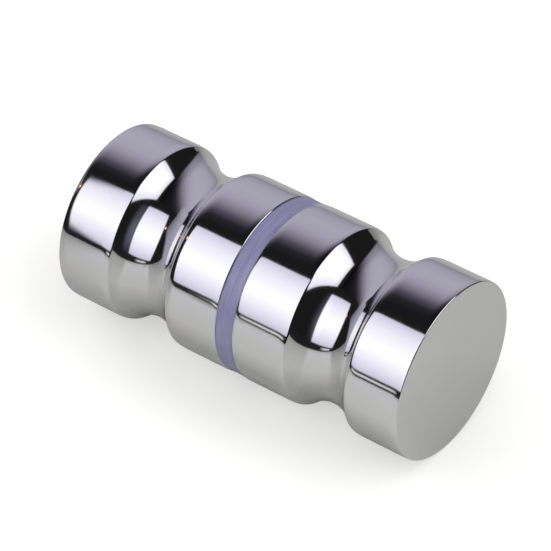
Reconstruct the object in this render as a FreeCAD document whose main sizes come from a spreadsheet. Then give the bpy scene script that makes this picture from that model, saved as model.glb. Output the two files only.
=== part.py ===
"""A pair of back-to-back pull knobs for a glass shower door, joined by one stud.

Frame: +Y runs along the turned axis, from the outside knob to the inside knob, and +Z is up.
The origin is on the axis at the door's mid-plane, where the two gaskets meet when no glass
is between them. All lengths are in millimetres and all angles in degrees.
"""

import FreeCAD, Part
import math
import os

import Sketcher
from FreeCAD import Placement, Rotation, Vector

# Driving sizes: name, value, meaning
DRIVING_SIZES = [
    ("knob_diameter", 30.0, "outside diameter of both bands of a knob"),
    ("knob_length", 31.0, "door face to end face of one knob"),
    ("door_band", 9.8, "width of the plain band beside the door"),
    ("end_band", 9.8, "width of the plain band at the end"),
    ("waist_depth", 2.6, "depth of the finger cove below the bands"),
    ("rim_chamfer", 0.2, "broken edge round the end face and the door face"),
    ("gasket_thickness", 1.6, "thickness of one gasket"),
    ("gasket_inset", 0.15, "how far a gasket stays inside the knob's diameter"),
    ("thread_diameter", 8.0, "nominal diameter of the joining thread"),
    ("thread_clearance", 0.05, "radial room between the stud and a knob's thread"),
    ("stud_length", 30.0, "overall length of the joining stud"),
    ("stud_chamfer", 0.8, "chamfer at both ends of the stud"),
    ("stud_end_room", 1.6, "thread left in a knob past the end of the stud"),
    ("socket_across_flats", 4.0, "hexagon socket in the stud's inside end"),
    ("socket_depth", 4.5, "depth of that socket"),
    ("drill_point_angle", 118.0, "included angle at the bottom of the drilled hole"),
    ("sleeve_diameter", 11.8, "sleeve that lines a 12 mm hole in the glass"),
    ("sleeve_length", 10.0, "length of the sleeve"),
    ("sleeve_stud_clearance", 0.3, "radial room between the sleeve and the stud"),
    ("sleeve_clearance", 0.2, "radial room round the sleeve in gaskets and knobs"),
    ("sleeve_end_room", 0.4, "room past each end of the sleeve in a knob"),
]

# Derived sizes, as formulas of the driving ones
WAIST_LENGTH = "(Sizes.knob_length - Sizes.door_band - Sizes.end_band)"
COVE_RADIUS = f"({WAIST_LENGTH}^2 / 4 + Sizes.waist_depth^2) / (2 * Sizes.waist_depth)"
GASKET_DIAMETER = "(Sizes.knob_diameter - 2 * Sizes.gasket_inset)"
SLEEVE_BORE = "(Sizes.thread_diameter + 2 * Sizes.sleeve_stud_clearance)"
SLEEVE_POCKET = "(Sizes.sleeve_diameter + 2 * Sizes.sleeve_clearance)"
SLEEVE_POCKET_DEPTH = "(Sizes.sleeve_length / 2 - Sizes.gasket_thickness + Sizes.sleeve_end_room)"
THREAD_HOLE = "(Sizes.thread_diameter + 2 * Sizes.thread_clearance)"
THREAD_DEPTH = "(Sizes.stud_length / 2 - Sizes.gasket_thickness + Sizes.stud_end_room)"

ORIGIN_POINT = (-1, 1)
SAME_PLACE = 1e-4
HALF_TURN = Rotation(Vector(0, 0, 1), 180)
NO_TURN = Rotation()

doc = FreeCAD.newDocument("DoorKnobPair")


def make_size_sheet():
    """The sheet that holds every driving size, one to a row."""
    sheet = doc.addObject("Spreadsheet::Sheet", "Sizes")
    for row, (name, value, meaning) in enumerate(DRIVING_SIZES, start=1):
        sheet.set(f"A{row}", name)
        sheet.set(f"B{row}", str(value))
        sheet.set(f"C{row}", meaning)
        sheet.setAlias(f"B{row}", name)
    doc.recompute()
    return sheet


sizes = make_size_sheet()


def new_body(name):
    body = doc.addObject("PartDesign::Body", name)
    body.Label = name
    return body


def new_sketch(body, name, plane_role):
    """An empty sketch on one of the body's own origin planes."""
    sketch = body.newObject("Sketcher::SketchObject", name)
    plane = next(p for p in body.Origin.OriginFeatures if p.Role == plane_role)
    sketch.AttachmentSupport = [(plane, "")]
    sketch.MapMode = "FlatFace"
    return sketch


def bind(sketch, constraint, name, formula):
    """Adds a constraint, names it and ties it to a formula of the sheet's sizes."""
    index = sketch.addConstraint(constraint)
    sketch.renameConstraint(index, name)
    sketch.setExpression(f"Constraints.{name}", formula)


def circle_on_axis(sketch, name, radius, formula):
    """A circle round the turned axis, whose diameter follows a formula."""
    circle = sketch.addGeometry(Part.Circle(Vector(), Vector(0, 0, 1), radius))
    sketch.addConstraint(Sketcher.Constraint("Coincident", circle, 3, *ORIGIN_POINT))
    bind(sketch, Sketcher.Constraint("Diameter", circle, 2 * radius), name, formula)


def round_edges(feature, radius, height):
    """Names of the feature's circular edges with this radius at this height on the axis."""
    found = []
    for number, edge in enumerate(feature.Shape.Edges, start=1):
        is_circle = isinstance(edge.Curve, Part.Circle)
        if (is_circle and abs(edge.Curve.Radius - radius) < SAME_PLACE
                and abs(edge.Curve.Center.y - height) < SAME_PLACE):
            found.append(f"Edge{number}")
    if not found:
        raise RuntimeError(f"{feature.Label} has no edge of radius {radius} at {height}")
    return found


def must_cut(before, after):
    """Stops the build when a feature that removes material has removed none."""
    doc.recompute()
    if after.Shape.Volume >= before.Shape.Volume - SAME_PLACE:
        raise RuntimeError(f"{after.Label} cuts nothing")


def chamfer(body, name, feature, edges, formula):
    cut = body.newObject("PartDesign::Chamfer", name)
    cut.Base = (feature, edges)
    cut.setExpression("Size", formula)
    return cut


def knob_outline(body):
    """Half the section of a knob: band, cove, band, closed along the turned axis."""
    radius = sizes.knob_diameter / 2
    length = sizes.knob_length
    cove_start = sizes.door_band
    cove_end = length - sizes.end_band
    half_chord = (cove_end - cove_start) / 2
    cove_radius = (half_chord**2 + sizes.waist_depth**2) / (2 * sizes.waist_depth)

    outline = new_sketch(body, "Outline", "XY_Plane")
    corners = [
        Vector(0, 0, 0),
        Vector(radius, 0, 0),
        Vector(radius, cove_start, 0),
        Vector(radius, cove_end, 0),
        Vector(radius, length, 0),
        Vector(0, length, 0),
    ]
    cove_floor = Vector(radius - sizes.waist_depth, cove_start + half_chord, 0)
    door_face = outline.addGeometry(Part.LineSegment(corners[0], corners[1]))
    door_band = outline.addGeometry(Part.LineSegment(corners[1], corners[2]))
    cove = outline.addGeometry(Part.Arc(corners[3], cove_floor, corners[2]))
    end_band = outline.addGeometry(Part.LineSegment(corners[3], corners[4]))
    end_face = outline.addGeometry(Part.LineSegment(corners[4], corners[5]))
    axis = outline.addGeometry(Part.LineSegment(corners[5], corners[0]))

    joins = [
        (door_face, 1, *ORIGIN_POINT),
        (door_face, 2, door_band, 1),
        (door_band, 2, cove, 2),
        (cove, 1, end_band, 1),
        (end_band, 2, end_face, 1),
        (end_face, 2, axis, 1),
        (axis, 2, door_face, 1),
    ]
    for join in joins:
        outline.addConstraint(Sketcher.Constraint("Coincident", *join))
    for flat in (door_face, end_face):
        outline.addConstraint(Sketcher.Constraint("Horizontal", flat))
    for upright in (door_band, end_band, axis):
        outline.addConstraint(Sketcher.Constraint("Vertical", upright))
    outline.addConstraint(Sketcher.Constraint("Equal", door_face, end_face))

    bind(outline, Sketcher.Constraint("Distance", door_face, radius), "KnobRadius",
         "Sizes.knob_diameter / 2")
    bind(outline, Sketcher.Constraint("Distance", axis, length), "KnobLength",
         "Sizes.knob_length")
    bind(outline, Sketcher.Constraint("Distance", door_band, cove_start), "DoorBand",
         "Sizes.door_band")
    bind(outline, Sketcher.Constraint("Distance", end_band, sizes.end_band), "EndBand",
         "Sizes.end_band")
    bind(outline, Sketcher.Constraint("Radius", cove, cove_radius), "CoveRadius", COVE_RADIUS)
    return outline


def make_knob(name, turn, distance_formula):
    """A solid turned knob with a tapped blind hole and a counterbore for the sleeve."""
    body = new_body(name)
    outline = knob_outline(body)
    blank = body.newObject("PartDesign::Revolution", "TurnedBlank")
    blank.Profile = outline
    blank.ReferenceAxis = (outline, ["V_Axis"])
    blank.Angle = 360
    doc.recompute()

    # The blind hole is drilled from the door face, first wide for the sleeve, then for the thread
    centre = new_sketch(body, "HoleCentre", "XZ_Plane")
    circle_on_axis(centre, "ThreadDiameter", sizes.thread_diameter / 2, THREAD_HOLE)
    doc.recompute()
    hole = body.newObject("PartDesign::Hole", "TappedHole")
    hole.Profile = centre
    hole.DepthType = "Dimension"
    hole.HoleCutType = "Counterbore"
    hole.HoleCutCustomValues = True
    hole.DrillPoint = "Angled"
    hole.setExpression("Diameter", THREAD_HOLE)
    hole.setExpression("Depth", THREAD_DEPTH)
    hole.setExpression("HoleCutDiameter", SLEEVE_POCKET)
    hole.setExpression("HoleCutDepth", SLEEVE_POCKET_DEPTH)
    hole.setExpression("DrillPointAngle", "Sizes.drill_point_angle")
    must_cut(blank, hole)

    # Both faces get a small broken edge, and the edges of the cove stay crisp
    radius = sizes.knob_diameter / 2
    rims = round_edges(hole, radius, 0) + round_edges(hole, radius, sizes.knob_length)
    broken = chamfer(body, "Rims", hole, rims, "Sizes.rim_chamfer")
    must_cut(hole, broken)
    body.Placement = Placement(Vector(), turn)
    body.setExpression("Placement.Base.y", distance_formula)
    return body


def pad_across(body, sketch, name, length_formula, both_sides):
    """Pads a sketch of the XZ plane along the turned axis, from the plane or across it."""
    pad = body.newObject("PartDesign::Pad", name)
    pad.Profile = sketch
    pad.Reversed = True
    pad.Midplane = both_sides
    pad.setExpression("Length", length_formula)
    doc.recompute()
    return pad


def make_gasket(name, turn):
    """A soft washer between the glass and a knob, with the sleeve through its bore."""
    body = new_body(name)
    ring = new_sketch(body, "Ring", "XZ_Plane")
    outer = sizes.knob_diameter / 2 - sizes.gasket_inset
    circle_on_axis(ring, "OutsideDiameter", outer, GASKET_DIAMETER)
    circle_on_axis(ring, "BoreDiameter", sizes.sleeve_diameter / 2, SLEEVE_POCKET)
    pad_across(body, ring, "Washer", "Sizes.gasket_thickness", both_sides=False)
    body.Placement = Placement(Vector(), turn)
    return body


def make_stud():
    """The headless socket screw that joins the knobs, centred on the door."""
    body = new_body("joining_stud")
    section = new_sketch(body, "Section", "XZ_Plane")
    radius = sizes.thread_diameter / 2
    circle_on_axis(section, "ThreadDiameter", radius, "Sizes.thread_diameter")
    rod = pad_across(body, section, "Rod", "Sizes.stud_length", both_sides=True)
    half = sizes.stud_length / 2
    ends = round_edges(rod, radius, half) + round_edges(rod, radius, -half)
    chamfered = chamfer(body, "EndChamfers", rod, ends, "Sizes.stud_chamfer")
    must_cut(rod, chamfered)

    hexagon = hexagon_sketch(body)
    socket = body.newObject("PartDesign::Pocket", "HexagonSocket")
    socket.Profile = hexagon
    socket.Reversed = True
    socket.setExpression("Length", "Sizes.socket_depth")
    must_cut(chamfered, socket)
    return body


def hexagon_sketch(body):
    """A regular hexagon round the axis, in the plane of the stud's inside end."""
    sketch = new_sketch(body, "Hexagon", "XZ_Plane")
    sketch.setExpression("AttachmentOffset.Base.z", "-Sizes.stud_length / 2")
    half_flats = sizes.socket_across_flats / 2
    across_corners = 2 * half_flats / math.cos(math.pi / 6)
    corner = Vector(across_corners / 2, 0, 0)
    corners = [Rotation(Vector(0, 0, 1), 60 * turn).multVec(corner) for turn in range(6)]
    sides = [
        sketch.addGeometry(Part.LineSegment(corners[side], corners[(side + 1) % 6]))
        for side in range(6)
    ]
    for side in range(6):
        following = (side + 1) % 6
        joint = Sketcher.Constraint("Coincident", sides[side], 2, sides[following], 1)
        sketch.addConstraint(joint)
        if side > 0:
            sketch.addConstraint(Sketcher.Constraint("Equal", sides[0], sides[side]))
    rim = Part.Circle(Vector(), Vector(0, 0, 1), across_corners / 2)
    tip_circle = sketch.addGeometry(rim, True)
    sketch.addConstraint(Sketcher.Constraint("Coincident", tip_circle, 3, *ORIGIN_POINT))
    for side in sides:
        sketch.addConstraint(Sketcher.Constraint("PointOnObject", side, 1, tip_circle))
    sketch.addConstraint(Sketcher.Constraint("PointOnObject", sides[0], 1, -1))
    bind(sketch, Sketcher.Constraint("Diameter", tip_circle, across_corners), "AcrossCorners",
         "Sizes.socket_across_flats / cos(30 deg)")
    return sketch


def make_sleeve():
    """The soft tube round the stud that keeps it off the edge of the hole in the glass."""
    body = new_body("glass_sleeve")
    section = new_sketch(body, "Section", "XZ_Plane")
    outer = sizes.sleeve_diameter / 2
    bore = sizes.thread_diameter / 2 + sizes.sleeve_stud_clearance
    circle_on_axis(section, "OutsideDiameter", outer, "Sizes.sleeve_diameter")
    circle_on_axis(section, "BoreDiameter", bore, SLEEVE_BORE)
    pad_across(body, section, "Tube", "Sizes.sleeve_length", both_sides=True)
    return body


def write_pieces(bodies):
    """Checks every object of the document, then writes each piece to its own file."""
    doc.recompute()
    for item in doc.Objects:
        if "Invalid" in item.State or "Error" in item.State:
            raise RuntimeError(f"{item.Label} failed: {item.State}")
    for body in bodies:
        if body.Shape.isNull() or not body.Shape.isValid():
            raise RuntimeError(f"{body.Label} has no valid shape")
    os.makedirs("parts", exist_ok=True)
    for body in bodies:
        body.Shape.exportStep(f"parts/{body.Label}.step")
        print(f"{body.Label}: {body.Shape.Volume:.1f} mm3, {len(body.Shape.Faces)} faces")


write_pieces([
    make_knob("outside_knob", HALF_TURN, "-Sizes.gasket_thickness"),
    make_knob("inside_knob", NO_TURN, "Sizes.gasket_thickness"),
    make_gasket("outside_gasket", HALF_TURN),
    make_gasket("inside_gasket", NO_TURN),
    make_stud(),
    make_sleeve(),
])
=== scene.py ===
# %% [markdown]
# # A pair of shower door knobs
#
# Two turned brass knobs, plated with chrome and polished to a mirror, clamp a glass shower door
# between two thin vinyl gaskets. One threaded stud through the glass pulls them together. With no
# glass in place they meet gasket to gasket, which is how this pair lies on the table.
#
# Everything is in metres. The turned axis is Y, from the outside knob to the inside knob, and the
# origin is where the two gaskets meet.

import math

import bpy
import bmesh
from mathutils import Matrix, Vector


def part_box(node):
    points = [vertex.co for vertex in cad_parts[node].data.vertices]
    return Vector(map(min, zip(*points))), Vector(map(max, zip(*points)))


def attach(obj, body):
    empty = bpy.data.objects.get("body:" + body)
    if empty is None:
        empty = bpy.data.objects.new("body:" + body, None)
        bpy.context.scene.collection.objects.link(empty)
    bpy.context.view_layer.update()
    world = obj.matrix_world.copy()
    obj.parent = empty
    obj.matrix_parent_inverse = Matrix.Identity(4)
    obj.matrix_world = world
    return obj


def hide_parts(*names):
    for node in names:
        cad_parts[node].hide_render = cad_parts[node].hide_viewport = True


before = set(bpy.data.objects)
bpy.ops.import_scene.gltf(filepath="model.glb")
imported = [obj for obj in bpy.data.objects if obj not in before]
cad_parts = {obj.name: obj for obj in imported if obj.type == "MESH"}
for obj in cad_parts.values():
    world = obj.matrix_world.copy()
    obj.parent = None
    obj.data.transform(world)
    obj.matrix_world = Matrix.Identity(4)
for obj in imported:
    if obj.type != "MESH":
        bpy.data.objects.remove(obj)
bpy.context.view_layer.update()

# %% [markdown]
# ## Sizes
#
# These are the same named sizes as in the CAD source, in metres. A value that follows from others
# is written as that sum, so that one change carries through.

# %% Sizes of the knobs and of what joins them
MM = 0.001
KNOB_RADIUS = 15 * MM
KNOB_LENGTH = 31 * MM
BAND_WIDTH = 9.8 * MM
WAIST_DEPTH = 2.6 * MM
GASKET_THICKNESS = 1.6 * MM
GASKET_INSET = 0.15 * MM
GASKET_RADIUS = KNOB_RADIUS - GASKET_INSET
STUD_RADIUS = 4 * MM
STUD_LENGTH = 30 * MM
STUD_END_ROOM = 1.6 * MM
THREAD_PITCH = 1.25 * MM
THREAD_CLEARANCE = 0.05 * MM
THREAD_HOLE_RADIUS = STUD_RADIUS + THREAD_CLEARANCE
THREAD_HOLE_DEPTH = STUD_LENGTH / 2 - GASKET_THICKNESS + STUD_END_ROOM
DRILL_POINT_ANGLE = math.radians(118)
DRILL_POINT_DEPTH = THREAD_HOLE_RADIUS / math.tan(DRILL_POINT_ANGLE / 2)
SLEEVE_RADIUS = 5.9 * MM
SLEEVE_LENGTH = 10 * MM
SLEEVE_STUD_CLEARANCE = 0.3 * MM
SLEEVE_CLEARANCE = 0.2 * MM
SLEEVE_END_ROOM = 0.4 * MM
SLEEVE_BORE_RADIUS = STUD_RADIUS + SLEEVE_STUD_CLEARANCE
POCKET_RADIUS = SLEEVE_RADIUS + SLEEVE_CLEARANCE
POCKET_DEPTH = SLEEVE_LENGTH / 2 - GASKET_THICKNESS + SLEEVE_END_ROOM

low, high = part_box("inside_knob")
print("inside knob in the CAD:", [round(v / MM, 3) for v in (*low, *high)], "mm")

# %% [markdown]
# ## How a turned piece is made
#
# Every piece here but the stud's thread comes off a lathe or has a round section, so each is made
# the way a lathe makes it: half its section is drawn as a chain of points, and the chain is spun
# once round the Y axis. In Blender a plane is merged to one point, the point is extruded along the
# section, and Spin carries the chain round. The first and last copies meet, and so do the points
# on the axis, so doubles are merged after.

# %% Draw a section and spin it round the axis
TURNED_SEGMENTS = 256
WELD_DISTANCE = 0.0005 * MM


def start_alone():
    """Leaves edit mode and deselects everything, so that the next operator acts on one piece."""
    if bpy.context.object and bpy.context.object.mode != "OBJECT":
        bpy.ops.object.mode_set(mode="OBJECT")
    bpy.ops.object.select_all(action="DESELECT")


def draw_section(name, section):
    """A new piece with the section's points as a chain of edges. A point is (along, radius)."""
    start_alone()
    bpy.ops.mesh.primitive_plane_add(size=MM)
    piece = bpy.context.object
    piece.name = piece.data.name = name
    bpy.ops.object.mode_set(mode="EDIT")
    bpy.ops.mesh.select_mode(type="VERT")
    bpy.ops.mesh.select_all(action="SELECT")
    bpy.ops.mesh.merge(type="CENTER")
    along, radius = section[0]
    bpy.ops.transform.translate(value=(radius, along, 0))
    for (from_along, from_radius), (to_along, to_radius) in zip(section, section[1:]):
        step = (to_radius - from_radius, to_along - from_along, 0)
        bpy.ops.mesh.extrude_vertices_move(TRANSFORM_OT_translate={"value": step})
    return piece


def spin_section(piece):
    """Spins the chain of the piece in edit mode into a closed skin that faces outwards."""
    bpy.ops.mesh.select_all(action="SELECT")
    bpy.ops.mesh.spin(
        steps=TURNED_SEGMENTS, angle=2 * math.pi, center=(0, 0, 0), axis=(0, 1, 0)
    )
    bpy.ops.mesh.select_all(action="SELECT")
    bpy.ops.mesh.remove_doubles(threshold=WELD_DISTANCE)
    bpy.ops.mesh.normals_make_consistent(inside=False)
    bpy.ops.object.mode_set(mode="OBJECT")


def report_skin(piece):
    """Prints a piece's box and face count, and stops if its skin has an open edge."""
    skin = bmesh.new()
    skin.from_mesh(piece.data)
    open_edges = [edge for edge in skin.edges if not edge.is_manifold]
    volume = skin.calc_volume(signed=True)
    skin.free()
    size = [round(side / MM, 2) for side in piece.dimensions]
    faces = len(piece.data.polygons)
    print(f"{piece.name}: {size} mm, {faces} faces, {volume / MM**3:.0f} mm3")
    if open_edges or volume <= 0:
        raise RuntimeError(f"{piece.name}: {len(open_edges)} open edges, volume {volume}")


print("a turned piece has", TURNED_SEGMENTS, "facets round")

# %% [markdown]
# ## The knob's section
#
# A knob is a band, a hollow cove for the fingers, and a second band. The lathe leaves the corners
# crisp, but the polisher's soft wheel then rolls them off, which shows as a dark line where a
# lamp's reflection bends away just before each edge. That roll-off is only 0.085 mm deep beside a
# flat face and 0.15 mm beside the cove, so it is drawn as a curve that starts flat and steepens
# towards the edge. A round bevel would be quicker, but it bends as much at its start as at its
# end, and a mirror shows that as a hard line. The cove is one arc. Inside, the knob is drilled
# for the stud, with a plain hole where the real one is tapped, and counterbored for the sleeve.

# %% The band, its buffed edges and the cove
FACE_ROLL = (1.5 * MM, 0.085 * MM)  # width and depth of the roll-off beside a flat face
COVE_ROLL = (1.8 * MM, 0.15 * MM)  # the same beside the cove, where the wheel dwells longer
ROLL_POWER = 3
ROLL_RINGS = 10
COVE_RINGS = 48
COVE_LENGTH = KNOB_LENGTH - 2 * BAND_WIDTH
COVE_DEPTH = WAIST_DEPTH - COVE_ROLL[1]
COVE_RADIUS = (COVE_LENGTH**2 / 4 + COVE_DEPTH**2) / (2 * COVE_DEPTH)


def roll_off(width, depth):
    """How a band's edge falls away: (distance from the edge, radius), from the edge inwards."""
    shares = [ring / ROLL_RINGS for ring in range(ROLL_RINGS + 1)]
    return [
        (width * share, KNOB_RADIUS - depth * (1 - share) ** ROLL_POWER) for share in shares
    ]


def buffed_band(start, first_roll, last_roll):
    """Points of a plain band whose two edges are rolled off by the polishing wheel."""
    first = [(start + inwards, radius) for inwards, radius in roll_off(*first_roll)]
    last = [
        (start + BAND_WIDTH - inwards, radius)
        for inwards, radius in reversed(roll_off(*last_roll))
    ]
    return first + last


def cove_points():
    """Points along the finger cove, a round hollow, without its two edges."""
    half_angle = math.asin(COVE_LENGTH / 2 / COVE_RADIUS)
    middle = KNOB_LENGTH / 2
    centre = KNOB_RADIUS - WAIST_DEPTH + COVE_RADIUS
    points = []
    for ring in range(1, COVE_RINGS):
        angle = half_angle * (2 * ring / COVE_RINGS - 1)
        along = middle + COVE_RADIUS * math.sin(angle)
        points.append((along, centre - COVE_RADIUS * math.cos(angle)))
    return points


def knob_section():
    """Half the section of a knob, from the drill point out over the skin to the end face."""
    bore = [
        (THREAD_HOLE_DEPTH + DRILL_POINT_DEPTH, 0),
        (THREAD_HOLE_DEPTH, THREAD_HOLE_RADIUS),
        (POCKET_DEPTH, THREAD_HOLE_RADIUS),
        (POCKET_DEPTH, POCKET_RADIUS),
        (0, POCKET_RADIUS),
    ]
    skin = (
        buffed_band(0, FACE_ROLL, COVE_ROLL)
        + cove_points()
        + buffed_band(KNOB_LENGTH - BAND_WIDTH, COVE_ROLL, FACE_ROLL)
    )
    return bore + skin + [(KNOB_LENGTH, 0)]


print("cove radius", round(COVE_RADIUS / MM, 3), "mm;", len(knob_section()), "rings in a knob")

# %% [markdown]
# ## The two knobs
#
# The pair is one turned part made twice, so the inside knob is spun, and the outside knob is a
# copy of its mesh, turned half round. The four sharp rims of the bands get a small bevel, 0.18 mm
# at the flat faces and 0.14 mm at the cove, and the mouth of the sleeve's pocket gets 0.15 mm. The
# rims are picked by where they are. Weighted Normal then points every normal of the wide flat
# faces straight out, which is what keeps a mirror's reflections true.

# %% Bevel, smooth and move a turned piece
RING_TOLERANCE = 0.005 * MM
FACE_WEIGHT = 100


def select_rings(piece, places):
    """In edit mode, selects the rings of edges that lie at the given (along, radius) places."""
    bpy.ops.mesh.select_mode(type="EDGE")
    bpy.ops.mesh.select_all(action="DESELECT")
    mesh = bmesh.from_edit_mesh(piece.data)
    for edge in mesh.edges:
        ends = [(v.co.y, math.hypot(v.co.x, v.co.z)) for v in edge.verts]
        for along, radius in places:
            if all(math.hypot(y - along, r - radius) < RING_TOLERANCE for y, r in ends):
                edge.select_set(True)
    mesh.select_flush_mode()
    bmesh.update_edit_mesh(piece.data)


def soften_rings(piece, places, width, segments=3):
    """Rounds off the rings of edges at the given places."""
    bpy.ops.object.mode_set(mode="EDIT")
    select_rings(piece, places)
    bpy.ops.mesh.bevel(offset=width, segments=segments, affect="EDGES")
    bpy.ops.object.mode_set(mode="OBJECT")


def finish_turned(piece, crease_degrees=35):
    """Shades a turned piece smooth and points the normals of its wide faces straight out."""
    start_alone()
    piece.select_set(True)
    bpy.context.view_layer.objects.active = piece
    bpy.ops.object.shade_smooth_by_angle(angle=math.radians(crease_degrees))
    weighted = piece.modifiers.new("true_faces", "WEIGHTED_NORMAL")
    weighted.keep_sharp = True
    weighted.weight = FACE_WEIGHT
    bpy.ops.object.modifier_apply(modifier=weighted.name)


def shift_mesh(piece, turn, along):
    """Turns a piece round Z and slides it along Y inside its own mesh."""
    piece.data.transform(Matrix.Translation((0, along, 0)) @ Matrix.Rotation(turn, 4, "Z"))
    piece.data.update()


# %% Spin the inside knob, copy it for the outside and finish both
FACE_RIM_BEVEL = 0.18 * MM
COVE_RIM_BEVEL = 0.14 * MM
POCKET_MOUTH_BEVEL = 0.15 * MM


def make_knob_pair():
    """The outside knob and the inside knob."""
    inside = draw_section("inside_knob_chrome", knob_section())
    spin_section(inside)
    face_rim = KNOB_RADIUS - FACE_ROLL[1]
    face_rims = [(0, face_rim), (KNOB_LENGTH, face_rim)]
    cove_rim = KNOB_RADIUS - COVE_ROLL[1]
    cove_rims = [(BAND_WIDTH, cove_rim), (KNOB_LENGTH - BAND_WIDTH, cove_rim)]
    soften_rings(inside, face_rims, FACE_RIM_BEVEL)
    soften_rings(inside, cove_rims, COVE_RIM_BEVEL)
    soften_rings(inside, [(0, POCKET_RADIUS)], POCKET_MOUTH_BEVEL)
    outside = inside.copy()
    outside.data = inside.data.copy()
    outside.name = outside.data.name = "outside_knob_chrome"
    bpy.context.collection.objects.link(outside)
    shift_mesh(inside, 0, GASKET_THICKNESS)
    shift_mesh(outside, math.pi, -GASKET_THICKNESS)
    for knob in (outside, inside):
        finish_turned(knob)
        report_skin(knob)
    return outside, inside


outside_knob, inside_knob = make_knob_pair()
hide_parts("outside_knob")
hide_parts("inside_knob")

# %% [markdown]
# ## The gaskets
#
# Each gasket is a washer punched from 1.6 mm clear vinyl sheet. The knobs press on it, so its
# outer edge bulges a little, and the corner next to the knob is soft. The ring could be a plain
# tube, but its edge catches the light, so it is spun with two extra rings in its outer face for
# the bulge, and the corner at the knob is rounded.

# %% Spin the two washers
GASKET_BULGE = 0.05 * MM
BULGE_START = 0.3  # share of the thickness where the edge is at its widest
BULGE_END = 0.7
GASKET_CORNER = 0.12 * MM


def make_gasket(name, turn):
    """A gasket between Y = 0 and its knob's face. A half turn puts it on the other side."""
    edge = GASKET_RADIUS - GASKET_BULGE
    section = [
        (0, POCKET_RADIUS),
        (0, edge),
        (GASKET_THICKNESS * BULGE_START, GASKET_RADIUS),
        (GASKET_THICKNESS * BULGE_END, GASKET_RADIUS),
        (GASKET_THICKNESS, edge),
        (GASKET_THICKNESS, POCKET_RADIUS),
        (0, POCKET_RADIUS),
    ]
    gasket = draw_section(name, section)
    spin_section(gasket)
    soften_rings(gasket, [(GASKET_THICKNESS, edge)], GASKET_CORNER, segments=4)
    shift_mesh(gasket, turn, 0)
    finish_turned(gasket, crease_degrees=50)
    report_skin(gasket)
    return gasket


outside_gasket = make_gasket("outside_gasket_vinyl", math.pi)
inside_gasket = make_gasket("inside_gasket_vinyl", 0)
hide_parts("outside_gasket")
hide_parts("inside_gasket")

# %% [markdown]
# ## The joining stud
#
# The stud is a headless M8 socket screw, hidden in the knobs. Its thread is a real helix: one
# tooth of the profile is drawn, and the Screw modifier winds it up the stud, two turns past each
# end. A Boolean then keeps only what lies inside a turned envelope, which has the flat ends and
# their chamfers. Last, a hexagon is cut for the key.

# %% Cut one piece with another
STUD_CHAMFER = 0.8 * MM
THREAD_DEPTH = 0.65 * MM
THREAD_STEPS = 48
THREAD_WELD_DISTANCE = 0.001 * MM
CREST_START, CREST_END = 0.44, 0.56  # shares of the pitch
SPARE_TURNS = 2
ENVELOPE_ROOM = 0.2 * MM  # how far the envelope stands off the crest of the thread
SOCKET_ACROSS_FLATS = 4 * MM
SOCKET_DEPTH = 4.5 * MM


def cut_with(piece, tool, operation):
    """Applies a Boolean between the piece and a tool, then deletes the tool."""
    start_alone()
    piece.select_set(True)
    bpy.context.view_layer.objects.active = piece
    cut = piece.modifiers.new("cut", "BOOLEAN")
    cut.operation, cut.object, cut.solver = operation, tool, "EXACT"
    bpy.ops.object.modifier_apply(modifier=cut.name)
    bpy.data.objects.remove(tool, do_unlink=True)


print("the thread has", STUD_LENGTH / THREAD_PITCH, "turns on the stud")


# %% Wind the thread, trim its ends and cut the socket
def wind_thread():
    """A bar with a helical thread, longer than the stud at both ends."""
    root = STUD_RADIUS - THREAD_DEPTH
    start = -STUD_LENGTH / 2 - SPARE_TURNS * THREAD_PITCH
    tooth = [(0, root), (CREST_START, STUD_RADIUS), (CREST_END, STUD_RADIUS), (1, root)]
    section = [(start + share * THREAD_PITCH, radius) for share, radius in tooth]
    bar = draw_section("joining_stud_threaded", section)
    bpy.ops.object.mode_set(mode="OBJECT")
    wind = bar.modifiers.new("wind", "SCREW")
    wind.axis, wind.angle, wind.screw_offset = "Y", 2 * math.pi, THREAD_PITCH
    wind.iterations = round(STUD_LENGTH / THREAD_PITCH) + 2 * SPARE_TURNS
    wind.steps = wind.render_steps = THREAD_STEPS
    bpy.ops.object.modifier_apply(modifier=wind.name)
    bpy.ops.object.mode_set(mode="EDIT")
    bpy.ops.mesh.select_all(action="SELECT")
    bpy.ops.mesh.remove_doubles(threshold=THREAD_WELD_DISTANCE)
    bpy.ops.mesh.fill_holes(sides=0)
    bpy.ops.mesh.quads_convert_to_tris()
    bpy.ops.mesh.normals_make_consistent(inside=False)
    bpy.ops.object.mode_set(mode="OBJECT")
    return bar


def stud_envelope():
    """The stud without its thread: flat ends, chamfers, and room round the crests."""
    half = STUD_LENGTH / 2
    chamfer_end = half - STUD_CHAMFER - ENVELOPE_ROOM
    section = [
        (-half, 0),
        (-half, STUD_RADIUS - STUD_CHAMFER),
        (-chamfer_end, STUD_RADIUS + ENVELOPE_ROOM),
        (chamfer_end, STUD_RADIUS + ENVELOPE_ROOM),
        (half, STUD_RADIUS - STUD_CHAMFER),
        (half, 0),
    ]
    envelope = draw_section("envelope", section)
    spin_section(envelope)
    return envelope


def make_stud():
    """The threaded stud with its chamfered ends and the hexagon at the inside end."""
    stud = wind_thread()
    cut_with(stud, stud_envelope(), "INTERSECT")
    start_alone()
    bpy.ops.mesh.primitive_cylinder_add(
        vertices=6,
        radius=SOCKET_ACROSS_FLATS / 2 / math.cos(math.radians(30)),
        depth=2 * SOCKET_DEPTH,
        location=(0, STUD_LENGTH / 2, 0),
        rotation=(math.pi / 2, 0, 0),
    )
    cut_with(stud, bpy.context.object, "DIFFERENCE")
    finish_turned(stud, crease_degrees=30)
    report_skin(stud)
    return stud


stud = make_stud()
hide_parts("joining_stud")

# %% [markdown]
# ## The sleeve
#
# A soft moulded tube keeps the steel stud off the edge of the hole in the glass. Its four rims are
# rounded, as a moulding's are.

# %% Spin the tube
SLEEVE_RIM_BEVEL = 0.2 * MM


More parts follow.
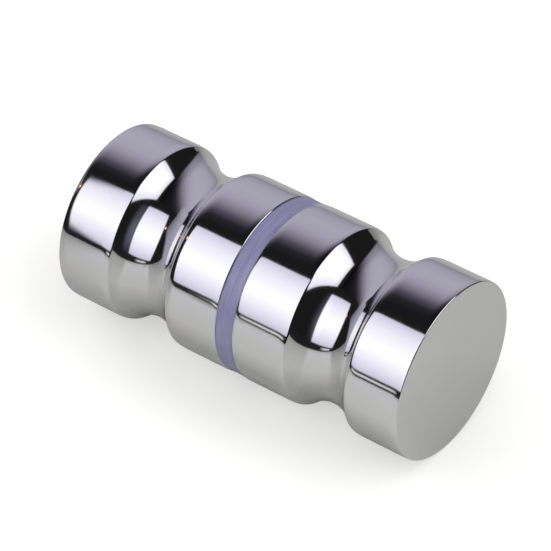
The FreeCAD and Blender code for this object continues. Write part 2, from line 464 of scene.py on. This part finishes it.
def make_sleeve():
    """The tube, as long on one side of the glass as on the other."""
    half = SLEEVE_LENGTH / 2
    corners = [
        (-half, SLEEVE_BORE_RADIUS),
        (-half, SLEEVE_RADIUS),
        (half, SLEEVE_RADIUS),
        (half, SLEEVE_BORE_RADIUS),
    ]
    sleeve = draw_section("glass_sleeve_moulded", corners + corners[:1])
    spin_section(sleeve)
    soften_rings(sleeve, corners, SLEEVE_RIM_BEVEL)
    finish_turned(sleeve)
    report_skin(sleeve)
    return sleeve


sleeve = make_sleeve()
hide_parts("glass_sleeve")

# %% [markdown]
# ## Finishes
#
# A material is named after its slot in the record. Its colour, its sheen and its small marks are
# worked out by nodes from the place on the piece, so nothing depends on an image. Polish marks are
# an effect that more than one metal has, so they are one node group, which gives a mask and a
# bumped normal.

# %% Helpers for materials, and the node group of faint polish marks
POLISH_SCALE = 900
POLISH_HEIGHT = 0.02
POLISH_BUMP = 0.01 * MM


def new_material(name):
    """A new material, its nodes and its links."""
    material = bpy.data.materials.new(name)
    material.use_nodes = True
    return material, material.node_tree.nodes, material.node_tree.links


def spread(nodes, links, value, span, to=(0, 1)):
    """Maps a value from one span (low, high) to another. Past the ends it stays level."""
    node = nodes.new("ShaderNodeMapRange")
    node.inputs["From Min"].default_value, node.inputs["From Max"].default_value = span
    node.inputs["To Min"].default_value, node.inputs["To Max"].default_value = to
    links.new(value, node.inputs["Value"])
    return node.outputs["Result"]


def make_polish_marks():
    """Group: very fine waviness left by the polishing wheel, as a mask and a bumped normal."""
    group = bpy.data.node_groups.new("polish_marks", "ShaderNodeTree")
    socket = group.interface.new_socket
    scale = socket("Scale", in_out="INPUT", socket_type="NodeSocketFloat")
    height = socket("Height", in_out="INPUT", socket_type="NodeSocketFloat")
    scale.default_value, height.default_value = POLISH_SCALE, POLISH_HEIGHT
    socket("Mask", in_out="OUTPUT", socket_type="NodeSocketFloat")
    socket("Normal", in_out="OUTPUT", socket_type="NodeSocketVector")
    nodes, links = group.nodes, group.links
    given = nodes.new("NodeGroupInput")
    result = nodes.new("NodeGroupOutput")
    place = nodes.new("ShaderNodeTexCoord")
    noise = nodes.new("ShaderNodeTexNoise")
    noise.inputs["Detail"].default_value = 2
    bump = nodes.new("ShaderNodeBump")
    bump.inputs["Distance"].default_value = POLISH_BUMP
    links.new(place.outputs["Object"], noise.inputs["Vector"])
    links.new(given.outputs["Scale"], noise.inputs["Scale"])
    links.new(noise.outputs["Fac"], bump.inputs["Height"])
    links.new(given.outputs["Height"], bump.inputs["Strength"])
    links.new(noise.outputs["Fac"], result.inputs["Mask"])
    links.new(bump.outputs["Normal"], result.inputs["Normal"])
    return group


polish_marks = make_polish_marks()
print("node group", polish_marks.name, "of", len(polish_marks.nodes), "nodes")

# %% [markdown]
# ## Chrome
#
# Chrome on polished brass is a neutral mirror with a hint of blue. The marks of the wheel are far
# too fine to see one by one. They only make the mirror a little softer in some spots, so the mask
# drives the roughness, and the normal is left alone: a bump would bend the straight reflections.


# %% Chrome for the knobs
def use_polish_marks(nodes):
    """The node group of polish marks, placed in a material."""
    marks = nodes.new("ShaderNodeGroup")
    marks.node_tree = polish_marks
    return marks


def make_chrome():
    """Mirror-polished chrome plate."""
    material, nodes, links = new_material("polished_chrome")
    shader = nodes["Principled BSDF"]
    shader.inputs["Base Color"].default_value = (0.86, 0.86, 0.87, 1)
    shader.inputs["Metallic"].default_value = 1
    mask = use_polish_marks(nodes).outputs["Mask"]
    rough = spread(nodes, links, mask, (0, 1), to=(0.05, 0.09))
    links.new(rough, shader.inputs["Roughness"])
    return material


chrome = make_chrome()
print(chrome.name, "made")

# %% [markdown]
# ## Vinyl
#
# The vinyl is clear with a violet tint. Light enters it, spreads and comes out again, so it gets
# some subsurface light and a little transmission, and a satin surface. It is rolled sheet, so it
# has faint cloudy streaks. They are made of noise that is stretched across the axis.


# %% Violet vinyl for the gaskets
def ramp(nodes, links, value, stops):
    """A colour ramp over a 0 to 1 value. A stop is (place, (r, g, b)) or (place, brightness)."""
    node = nodes.new("ShaderNodeValToRGB")
    elements = node.color_ramp.elements
    while len(elements) < len(stops):
        elements.new(0.5)
    for element, (place, colour) in zip(elements, stops):
        shade = colour if isinstance(colour, tuple) else (colour,) * 3
        element.position = place
        element.color = (*shade, 1)
    links.new(value, node.inputs["Fac"])
    return node.outputs["Color"]


def scaled_place(nodes, links, scale):
    """Where on the piece a point lies, in the piece's own axes, each scaled by its own factor."""
    place = nodes.new("ShaderNodeTexCoord")
    scaled = nodes.new("ShaderNodeVectorMath")
    scaled.operation = "MULTIPLY"
    scaled.inputs[1].default_value = scale
    links.new(place.outputs["Object"], scaled.inputs[0])
    return scaled.outputs["Vector"]


def make_vinyl():
    """Soft clear vinyl with a violet tint."""
    material, nodes, links = new_material("violet_clear_vinyl")
    shader = nodes["Principled BSDF"]
    streak = nodes.new("ShaderNodeTexNoise")
    streak.inputs["Scale"].default_value = 1800
    streak.inputs["Detail"].default_value = 3
    links.new(scaled_place(nodes, links, (0.08, 1, 0.08)), streak.inputs["Vector"])
    deep, pale = (0.315, 0.305, 0.515), (0.425, 0.41, 0.635)
    tint = ramp(nodes, links, streak.outputs["Fac"], [(0.32, deep), (0.68, pale)])
    links.new(tint, shader.inputs["Base Color"])
    shader.inputs["Roughness"].default_value = 0.3
    shader.inputs["IOR"].default_value = 1.52
    shader.inputs["Transmission Weight"].default_value = 0.1
    shader.inputs["Subsurface Weight"].default_value = 0.5
    shader.inputs["Subsurface Radius"].default_value = (1.0, 0.9, 1.2)
    shader.inputs["Subsurface Scale"].default_value = 0.6 * MM
    return material


vinyl = make_vinyl()
print(vinyl.name, "made")

# %% [markdown]
# ## Zinc and moulded plastic
#
# The stud is bright zinc-plated steel. It has the same marks as the chrome, but finer and deeper,
# so here the group's normal is used too. The sleeve is natural plastic, milky and dull.


# %% Zinc for the stud and plastic for the sleeve
def make_zinc():
    """Bright zinc plate on steel."""
    material, nodes, links = new_material("zinc_plated_steel")
    shader = nodes["Principled BSDF"]
    shader.inputs["Base Color"].default_value = (0.62, 0.63, 0.64, 1)
    shader.inputs["Metallic"].default_value = 1
    marks = use_polish_marks(nodes)
    marks.inputs["Scale"].default_value = 2500
    marks.inputs["Height"].default_value = 0.2
    rough = spread(nodes, links, marks.outputs["Mask"], (0, 1), to=(0.22, 0.36))
    links.new(rough, shader.inputs["Roughness"])
    links.new(marks.outputs["Normal"], shader.inputs["Normal"])
    return material


def make_sleeve_plastic():
    """Natural moulded plastic."""
    material, nodes, links = new_material("natural_sleeve_plastic")
    shader = nodes["Principled BSDF"]
    shader.inputs["Base Color"].default_value = (0.85, 0.86, 0.86, 1)
    shader.inputs["Roughness"].default_value = 0.42
    shader.inputs["Subsurface Weight"].default_value = 0.4
    shader.inputs["Subsurface Scale"].default_value = 1 * MM
    return material


# %% Give every piece its finish and let it ride on the one body
finishes = {
    "polished_chrome": (chrome, [outside_knob, inside_knob]),
    "violet_clear_vinyl": (vinyl, [outside_gasket, inside_gasket]),
    "zinc_plated_steel": (make_zinc(), [stud]),
    "natural_sleeve_plastic": (make_sleeve_plastic(), [sleeve]),
}
for slot, (material, dressed) in finishes.items():
    for piece in dressed:
        piece.data.materials.clear()
        piece.data.materials.append(material)
        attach(piece, "root")
    print(slot, "on", [piece.name for piece in dressed])

# %% [markdown]
# ## The studio
#
# A polished knob shows nothing but the room round it, so the room is built with care. Low on the
# left stands a soft box with a thin bluish veil before it, a second box hangs over the outside
# knob, and a small warm lamp stands beyond the inside knob. A curved lavender-grey card on the
# right gives the bands their quiet grey. Each is a surface that gives off light and that the
# camera can't see. Their brightness falls off towards their edges, as a real diffuser's does.


# %% A glowing material, and a flat card between four corners
def glowing(name, strength, colour_of=None, colour=(1, 1, 1)):
    """An emission material of one colour, or of the colour that colour_of(nodes, links) gives."""
    material, nodes, links = new_material(name)
    nodes.clear()
    emission = nodes.new("ShaderNodeEmission")
    emission.inputs["Color"].default_value = (*colour, 1)
    emission.inputs["Strength"].default_value = strength
    result = nodes.new("ShaderNodeOutputMaterial")
    if colour_of:
        links.new(colour_of(nodes, links), emission.inputs["Color"])
    links.new(emission.outputs["Emission"], result.inputs["Surface"])
    return material


def stage_light(light, name, material):
    """Names a light, gives it its material and hides it from the camera."""
    light.name = name
    light.data.materials.append(material)
    light.visible_camera = light.visible_shadow = False
    print(name, "is staged")


def card_between(name, corners, material):
    """A staged card. Its corners, in mm, are where its UV map is (0, 0), (1, 0), (0, 1), (1, 1)."""
    start_alone()
    bpy.ops.mesh.primitive_plane_add(size=1)
    card = bpy.context.object
    for vertex, corner in zip(card.data.vertices, corners):
        vertex.co = Vector(corner) * MM
    stage_light(card, name, material)
    return card


# %% Shade a card by its two directions
def uv_axes(nodes, links):
    """The two directions across a card, each from 0 to 1."""
    place = nodes.new("ShaderNodeTexCoord")
    split = nodes.new("ShaderNodeSeparateXYZ")
    links.new(place.outputs["UV"], split.inputs["Vector"])
    return split.outputs["X"], split.outputs["Y"]


def times(nodes, links, first, second):
    """The product of two colours."""
    node = nodes.new("ShaderNodeMix")
    node.data_type = "RGBA"
    node.blend_type = "MULTIPLY"
    node.inputs["Factor"].default_value = 1
    colours = [socket for socket in node.inputs if socket.type == "RGBA"]
    links.new(first, colours[0])
    links.new(second, colours[1])
    return next(socket for socket in node.outputs if socket.type == "RGBA")


# %% The side soft box and the overhead one
BOX_STRENGTH = 1.22
SIDE_BOX_CORNERS = [(-73, -52, 194), (-212, -52, 5), (-61, 132, 185), (-200, 135, -5)]
OVERHEAD_BOX_CORNERS = [(317, -54, 528), (-75, -72, 448), (290, -322, 172), (-80, -308, 126)]
SIDE_BOX_TINT = [
    (0.0, 0.0),
    (0.025, (0.58, 0.57, 0.67)),
    (0.13, (0.70, 0.68, 0.79)),
    (0.25, (0.82, 0.80, 0.89)),
    (0.45, (0.95, 0.95, 0.96)),
    (0.58, (0.95, 0.95, 0.97)),
    (0.76, (0.78, 0.76, 0.86)),
    (0.975, (0.55, 0.53, 0.64)),
    (1.0, 0.0),
]


def side_glow(nodes, links):
    """White across the middle, lavender towards the top and the bottom."""
    down, along = uv_axes(nodes, links)
    tint = ramp(nodes, links, down, SIDE_BOX_TINT)
    fade = ramp(nodes, links, along, [(0.0, 0.0), (0.042, 1.0), (0.955, 1.0), (1.0, 0.0)])
    return times(nodes, links, tint, fade)


def overhead_glow(nodes, links):
    """White across the middle, lavender towards both sides."""
    across, down = uv_axes(nodes, links)
    lavender, white = (0.74, 0.72, 0.83), (0.95, 0.95, 0.97)
    sides = [
        (0.0, 0.0),
        (0.03, lavender),
        (0.25, white),
        (0.8, white),
        (0.97, lavender),
        (1.0, 0.0),
    ]
    ends = [(0.0, 0.0), (0.03, 0.75), (0.25, 1.0), (0.97, 1.0), (1.0, 0.0)]
    tint = ramp(nodes, links, across, sides)
    return times(nodes, links, tint, ramp(nodes, links, down, ends))


side_light = glowing("side_light", BOX_STRENGTH, side_glow)
card_between("side_soft_box", SIDE_BOX_CORNERS, side_light)
overhead_light = glowing("overhead_light", BOX_STRENGTH, overhead_glow)
card_between("overhead_soft_box", OVERHEAD_BOX_CORNERS, overhead_light)

# %% [markdown]
# ## The veil
#
# A thin bluish veil hangs before the side box. Light passes through it, so its material is clear
# and only adds a faint light of its own to what is seen through it.

# %% A thin bluish veil before the side box
VEIL_CORNERS = [(-37, -54, 97), (-106, -54, 2), (-37, -8, 97), (-106, -8, 2)]


def veil_glow(nodes, links):
    """Brightest in the middle of its height and near its far end."""
    down, along = uv_axes(nodes, links)
    height = [(0.0, 0.0), (0.1, 0.4), (0.3, 0.6), (0.5, 1.0), (0.7, 0.8), (0.9, 0.3), (1.0, 0.0)]
    length = [
        (0.0, 0.0),
        (0.15, (0.011, 0.011, 0.016)),
        (0.33, (0.045, 0.045, 0.063)),
        (0.55, (0.11, 0.11, 0.155)),
        (0.8, (0.12, 0.12, 0.17)),
        (1.0, 0.0),
    ]
    across = ramp(nodes, links, down, height)
    return times(nodes, links, across, ramp(nodes, links, along, length))


def make_veil():
    """Material that lets everything through and adds a faint bluish light."""
    material = glowing("veil_light", 1, veil_glow)
    nodes, links = material.node_tree.nodes, material.node_tree.links
    clear = nodes.new("ShaderNodeBsdfTransparent")
    both = nodes.new("ShaderNodeAddShader")
    links.new(clear.outputs["BSDF"], both.inputs[0])
    links.new(nodes["Emission"].outputs["Emission"], both.inputs[1])
    links.new(both.outputs["Shader"], nodes["Material Output"].inputs["Surface"])
    return material


veil = card_between("bluish_veil", VEIL_CORNERS, make_veil())

# %% A small warm lamp beyond the inside knob, which shows as a spark at each band's edge
LAMP_PLACE = Vector((-150, 215, 200)) * MM
LAMP_RADIUS = 7 * MM
LAMP_STRENGTH = 4
LAMP_COLOUR = (1, 0.42, 0.2)

start_alone()
bpy.ops.mesh.primitive_uv_sphere_add(
    segments=24, ring_count=12, radius=LAMP_RADIUS, location=LAMP_PLACE
)
warm_light = glowing("warm_light", LAMP_STRENGTH, colour=LAMP_COLOUR)
stage_light(bpy.context.object, "warm_lamp", warm_light)

# %% [markdown]
# ## The lavender card
#
# The card is a piece of a large cylinder round the knobs. Its light dies away towards the top, and
# sooner the nearer it is to the outside knob, so the fade follows a mix of two angles: how far
# round the axis a point lies, and how far along it. Two more fades make it dimmer close to the
# table and where it begins beside the gaskets. Its end is folded in behind the inside knob.

# %% Shade the lavender card
CARD_LEAN = 0.6
CARD_REACH = 0.15
MAIN_FADE_SPAN = (math.radians(-31), math.radians(69))
LOW_FADE_SPAN = (math.radians(-5), math.radians(30))
NEAR_FADE_SPAN = (-6 * MM, 94 * MM)
MAIN_FADE = [
    (0.38, (0.443, 0.43, 0.515)),
    (0.50, (0.427, 0.41, 0.50)),
    (0.58, (0.39, 0.37, 0.457)),
    (0.66, (0.314, 0.295, 0.37)),
    (0.74, (0.20, 0.185, 0.237)),
    (0.82, (0.08, 0.073, 0.10)),
    (0.90, (0.021, 0.02, 0.026)),
    (1.0, (0.01, 0.01, 0.013)),
]
LOW_FADE = [(0.03, 0.66), (0.5, 0.9), (1.0, 1.0)]
NEAR_FADE = [
    (0.0, 0.0),
    (0.08, 0.25),
    (0.16, 0.6),
    (0.3, 0.65),
    (0.5, 0.71),
    (0.71, 0.88),
    (1.0, 1.0),
]


def reckon(nodes, links, operation, *values):
    """One step of arithmetic. A value is a socket or a number."""
    node = nodes.new("ShaderNodeMath")
    node.operation = operation
    for socket, value in zip(node.inputs, values):
        if isinstance(value, (int, float)):
            socket.default_value = value
        else:
            links.new(value, socket)
    return node.outputs["Value"]


def lavender_glow(nodes, links):
    """The card's colour, by how far round and how far along the axis a point lies."""
    place = nodes.new("ShaderNodeTexCoord")
    split = nodes.new("ShaderNodeSeparateXYZ")
    links.new(place.outputs["Object"], split.inputs["Vector"])
    right, along, up = (split.outputs[name] for name in ("X", "Y", "Z"))
    round_axis = reckon(nodes, links, "ARCTAN2", up, right)
    along_axis = reckon(nodes, links, "ARCTAN2", along, CARD_REACH)
    lean = reckon(nodes, links, "MULTIPLY_ADD", along_axis, -CARD_LEAN, round_axis)
    tint = ramp(nodes, links, spread(nodes, links, lean, MAIN_FADE_SPAN), MAIN_FADE)
    low = ramp(nodes, links, spread(nodes, links, round_axis, LOW_FADE_SPAN), LOW_FADE)
    near = ramp(nodes, links, spread(nodes, links, along, NEAR_FADE_SPAN), NEAR_FADE)
    return times(nodes, links, times(nodes, links, tint, low), near)


# %% Bend the lavender card round the right side
CARD_DISTANCE = 0.32
CARD_START, CARD_END = -3, 97  # degrees up from the right
CARD_LENGTH = 0.8
CARD_MIDDLE = 0.39
CARD_FACETS = 90


def lavender_card():
    """A part of a wide tube round the knobs' axis."""
    start_alone()
    bpy.ops.mesh.primitive_cylinder_add(
        vertices=CARD_FACETS,
        radius=CARD_DISTANCE,
        depth=CARD_LENGTH,
        end_fill_type="NOTHING",
        location=(0, CARD_MIDDLE, 0),
        rotation=(math.pi / 2, 0, 0),
    )
    card = bpy.context.object
    bpy.ops.object.transform_apply(location=True, rotation=True)
    mesh = bmesh.new()
    mesh.from_mesh(card.data)
    unwanted = []
    for face in mesh.faces:
        middle = face.calc_center_median()
        angle = math.degrees(math.atan2(middle.z, middle.x))
        if not CARD_START < angle < CARD_END:
            unwanted.append(face)
    bmesh.ops.delete(mesh, geom=unwanted, context="FACES")
    mesh.to_mesh(card.data)
    mesh.free()
    stage_light(card, "lavender_card", glowing("lavender_light", 1, lavender_glow))


lavender_card()

# %% The end of the card, folded in behind the inside knob
FOLDED_END_CORNERS = [(-48, 75, -12), (6, 75, -12), (-48, 75, 60), (6, 75, 66)]
CLEAR_ROUND_AXIS = (17 * MM, 27 * MM)


def folded_end_glow(nodes, links):
    """A little paler towards the right."""
    across = uv_axes(nodes, links)[0]
    return ramp(nodes, links, across, [(0.2, (0.35, 0.34, 0.41)), (1.0, (0.44, 0.425, 0.51))])


def length_of(nodes, links, vector):
    """How long a vector is."""
    node = nodes.new("ShaderNodeVectorMath")
    node.operation = "LENGTH"
    links.new(vector, node.inputs[0])
    return node.outputs["Value"]


def folded_end_cover(nodes, links):
    """Where the card is solid: it thins out at its top and outer side, and round the axis."""
    across, up = uv_axes(nodes, links)
    side = ramp(nodes, links, across, [(0.0, 0.0), (0.15, 1.0)])
    top = ramp(nodes, links, up, [(0.5, 1.0), (0.8, 0.7), (1.0, 0.3)])
    from_axis = length_of(nodes, links, scaled_place(nodes, links, (1, 0, 1)))
    clear = spread(nodes, links, from_axis, CLEAR_ROUND_AXIS)
    return times(nodes, links, times(nodes, links, side, top), clear)


def folded_end_material():
    """The card's glow where it is solid, and clear elsewhere."""
    material = glowing("folded_end_light", 1, folded_end_glow)
    nodes, links = material.node_tree.nodes, material.node_tree.links
    clear = nodes.new("ShaderNodeBsdfTransparent")
    mixed = nodes.new("ShaderNodeMixShader")
    links.new(folded_end_cover(nodes, links), mixed.inputs["Fac"])
    links.new(clear.outputs["BSDF"], mixed.inputs[1])
    links.new(nodes["Emission"].outputs["Emission"], mixed.inputs[2])
    links.new(mixed.outputs["Shader"], nodes["Material Output"].inputs["Surface"])
    return material


folded_end = card_between("lavender_card_folded_end", FOLDED_END_CORNERS, folded_end_material())

# %% [markdown]
# ## The table and the world
#
# The pair lies on a plain white table. To the camera the table glows a little, so that it reaches
# white and keeps the knobs' soft shadow. In the chrome it shows as a plain grey surface with
# painted shade, darker close to the knobs. It ends in the dark on the left, with a thin pale rail
# before it, a strip that gives off light.

# %% The table
TABLE_HEIGHT = -KNOB_RADIUS
TABLE_SIZE = 3.0
TABLE_GLOW = 0.5
TABLE_FAR_GLOW = 0.35
TABLE_GLOW_SPAN = (15 * MM, 60 * MM)
TABLE_PAINTED_SHADE_SPAN = (0, 60 * MM)
TABLE_SHEEN = 0.5
TABLE_ROUGHNESS = 0.16
# Painted shade on the table: its colour by the distance from the knobs, darkest close to them.
TABLE_PAINTED_SHADE = [
    (0.15, (0.650, 0.655, 0.600)),
    (0.25, (0.592, 0.596, 0.545)),
    (0.31, (0.644, 0.649, 0.593)),
    (0.40, (0.700, 0.705, 0.645)),
    (0.47, (0.742, 0.747, 0.684)),
    (0.60, (0.720, 0.725, 0.663)),
    (0.92, (0.686, 0.691, 0.632)),
]


def table_material():
    """White paint with painted shade, by the distance from the knobs, in ovals twice as long as
    wide.
    """
    material, nodes, links = new_material("white_table")
    shader = nodes["Principled BSDF"]
    to_camera = nodes.new("ShaderNodeLightPath").outputs["Is Camera Ray"]
    distance = length_of(nodes, links, scaled_place(nodes, links, (1, 0.5, 0)))
    # Painted shade: the table's colour is darker close to the knobs, where their shade falls.
    tint = ramp(nodes, links, spread(nodes, links, distance, TABLE_PAINTED_SHADE_SPAN), TABLE_PAINTED_SHADE)
    sheen = spread(nodes, links, to_camera, (0, 1), to=(TABLE_SHEEN, 0))
    links.new(tint, shader.inputs["Base Color"])
    links.new(sheen, shader.inputs["Specular IOR Level"])
    shader.inputs["Roughness"].default_value = TABLE_ROUGHNESS
    brightness = (TABLE_GLOW, TABLE_GLOW + TABLE_FAR_GLOW)
    far = spread(nodes, links, distance, TABLE_GLOW_SPAN, to=brightness)
    glow = nodes.new("ShaderNodeEmission")
    links.new(reckon(nodes, links, "MULTIPLY", far, to_camera), glow.inputs["Strength"])
    both = nodes.new("ShaderNodeAddShader")
    links.new(shader.outputs["BSDF"], both.inputs[0])
    links.new(glow.outputs["Emission"], both.inputs[1])
    links.new(both.outputs["Shader"], nodes["Material Output"].inputs["Surface"])
    return material


def make_table():
    """A wide plane under the knobs."""
    start_alone()
    bpy.ops.mesh.primitive_plane_add(size=TABLE_SIZE, location=(0, 0, TABLE_HEIGHT))
    table = bpy.context.object
    table.name = "table"
    bpy.ops.object.transform_apply(location=True)
    table.data.materials.append(table_material())
    print("the table stands at", round(TABLE_HEIGHT / MM, 3), "mm")


make_table()

# %% The dark beyond the table's edge, and the pale rail
DARK_HEIGHT = -14
DARK_STRENGTH = 0.013
DARK_COLOUR = (1, 1, 1.2)
DARK_CORNERS = [
    (-2500, -1400, DARK_HEIGHT),
    (248, -1400, DARK_HEIGHT),
    (-2500, 1400, DARK_HEIGHT),
    (-490, 1400, DARK_HEIGHT),
]
RAIL_CORNERS = [(-146, 12, -12), (-146, 78, -12), (-146, 12, -3.5), (-146, 78, -3.5)]


def rail_glow(nodes, links):
    """Bright along its middle, and faded at its ends and edges."""
    along, up = uv_axes(nodes, links)
    ends = ramp(nodes, links, along, [(0.0, 0.0), (0.3, 0.8), (0.75, 0.8), (1.0, 0.0)])
    edges = ramp(nodes, links, up, [(0.0, 0.25), (0.45, 1.0), (0.65, 1.0), (1.0, 0.2)])
    return times(nodes, links, ends, edges)


dark_light = glowing("dark", DARK_STRENGTH, colour=DARK_COLOUR)
dark = card_between("dark_beyond_the_table", DARK_CORNERS, dark_light)
rail = card_between("pale_rail", RAIL_CORNERS, glowing("rail", 1, rail_glow))
for card in (dark, rail, folded_end, veil):
    card.visible_diffuse = False

# %% The world: white to the camera, soft fill for the surfaces, dark in the reflections
WORLD_FILL = 0.86
WORLD_DARK = 0.0105
WORLD_COLOUR = (0.98, 0.98, 1, 1)


def make_world():
    """The world's light: white to the camera, soft to dull surfaces and dark to mirrors."""
    world = bpy.data.worlds.new("studio")
    world.use_nodes = True
    nodes, links = world.node_tree.nodes, world.node_tree.links
    path = nodes.new("ShaderNodeLightPath")
    fill = spread(nodes, links, path.outputs["Is Diffuse Ray"], (0, 1), to=(WORLD_DARK, WORLD_FILL))
    brightness = reckon(nodes, links, "MAXIMUM", fill, path.outputs["Is Camera Ray"])
    background = nodes["Background"]
    background.inputs["Color"].default_value = WORLD_COLOUR
    links.new(brightness, background.inputs["Strength"])
    bpy.context.scene.world = world


make_world()
bpy.context.scene.view_settings.view_transform = "Standard"
print("the world's fill is", WORLD_FILL, "and its dark", WORLD_DARK)

# %% [markdown]
# ## Camera
#
# The camera stands in front of the outside knob, to its left and above it, at the distance where
# the near knob looks as much larger than the far one as it should.

# %% Place the camera
CAMERA_PLACE = Vector((-341.710, -252.906, 363.464)) * MM
CAMERA_TURN = math.radians(-53.3837)
CAMERA_ELEVATION = math.radians(40.3205)
CAMERA_LENS = 233.46
CAMERA_SENSOR = 36
CAMERA_NEAREST, CAMERA_FARTHEST = 0.05, 10

camera_data = bpy.data.cameras.new("camera")
camera_data.lens = CAMERA_LENS
camera_data.sensor_width = CAMERA_SENSOR
camera_data.clip_start, camera_data.clip_end = CAMERA_NEAREST, CAMERA_FARTHEST
camera = bpy.data.objects.new("camera", camera_data)
camera.location = CAMERA_PLACE
camera.rotation_euler = (math.pi / 2 - CAMERA_ELEVATION, 0, CAMERA_TURN)
bpy.context.collection.objects.link(camera)
bpy.context.scene.camera = camera
print("the camera is", round(CAMERA_PLACE.length, 3), "m from the knobs")
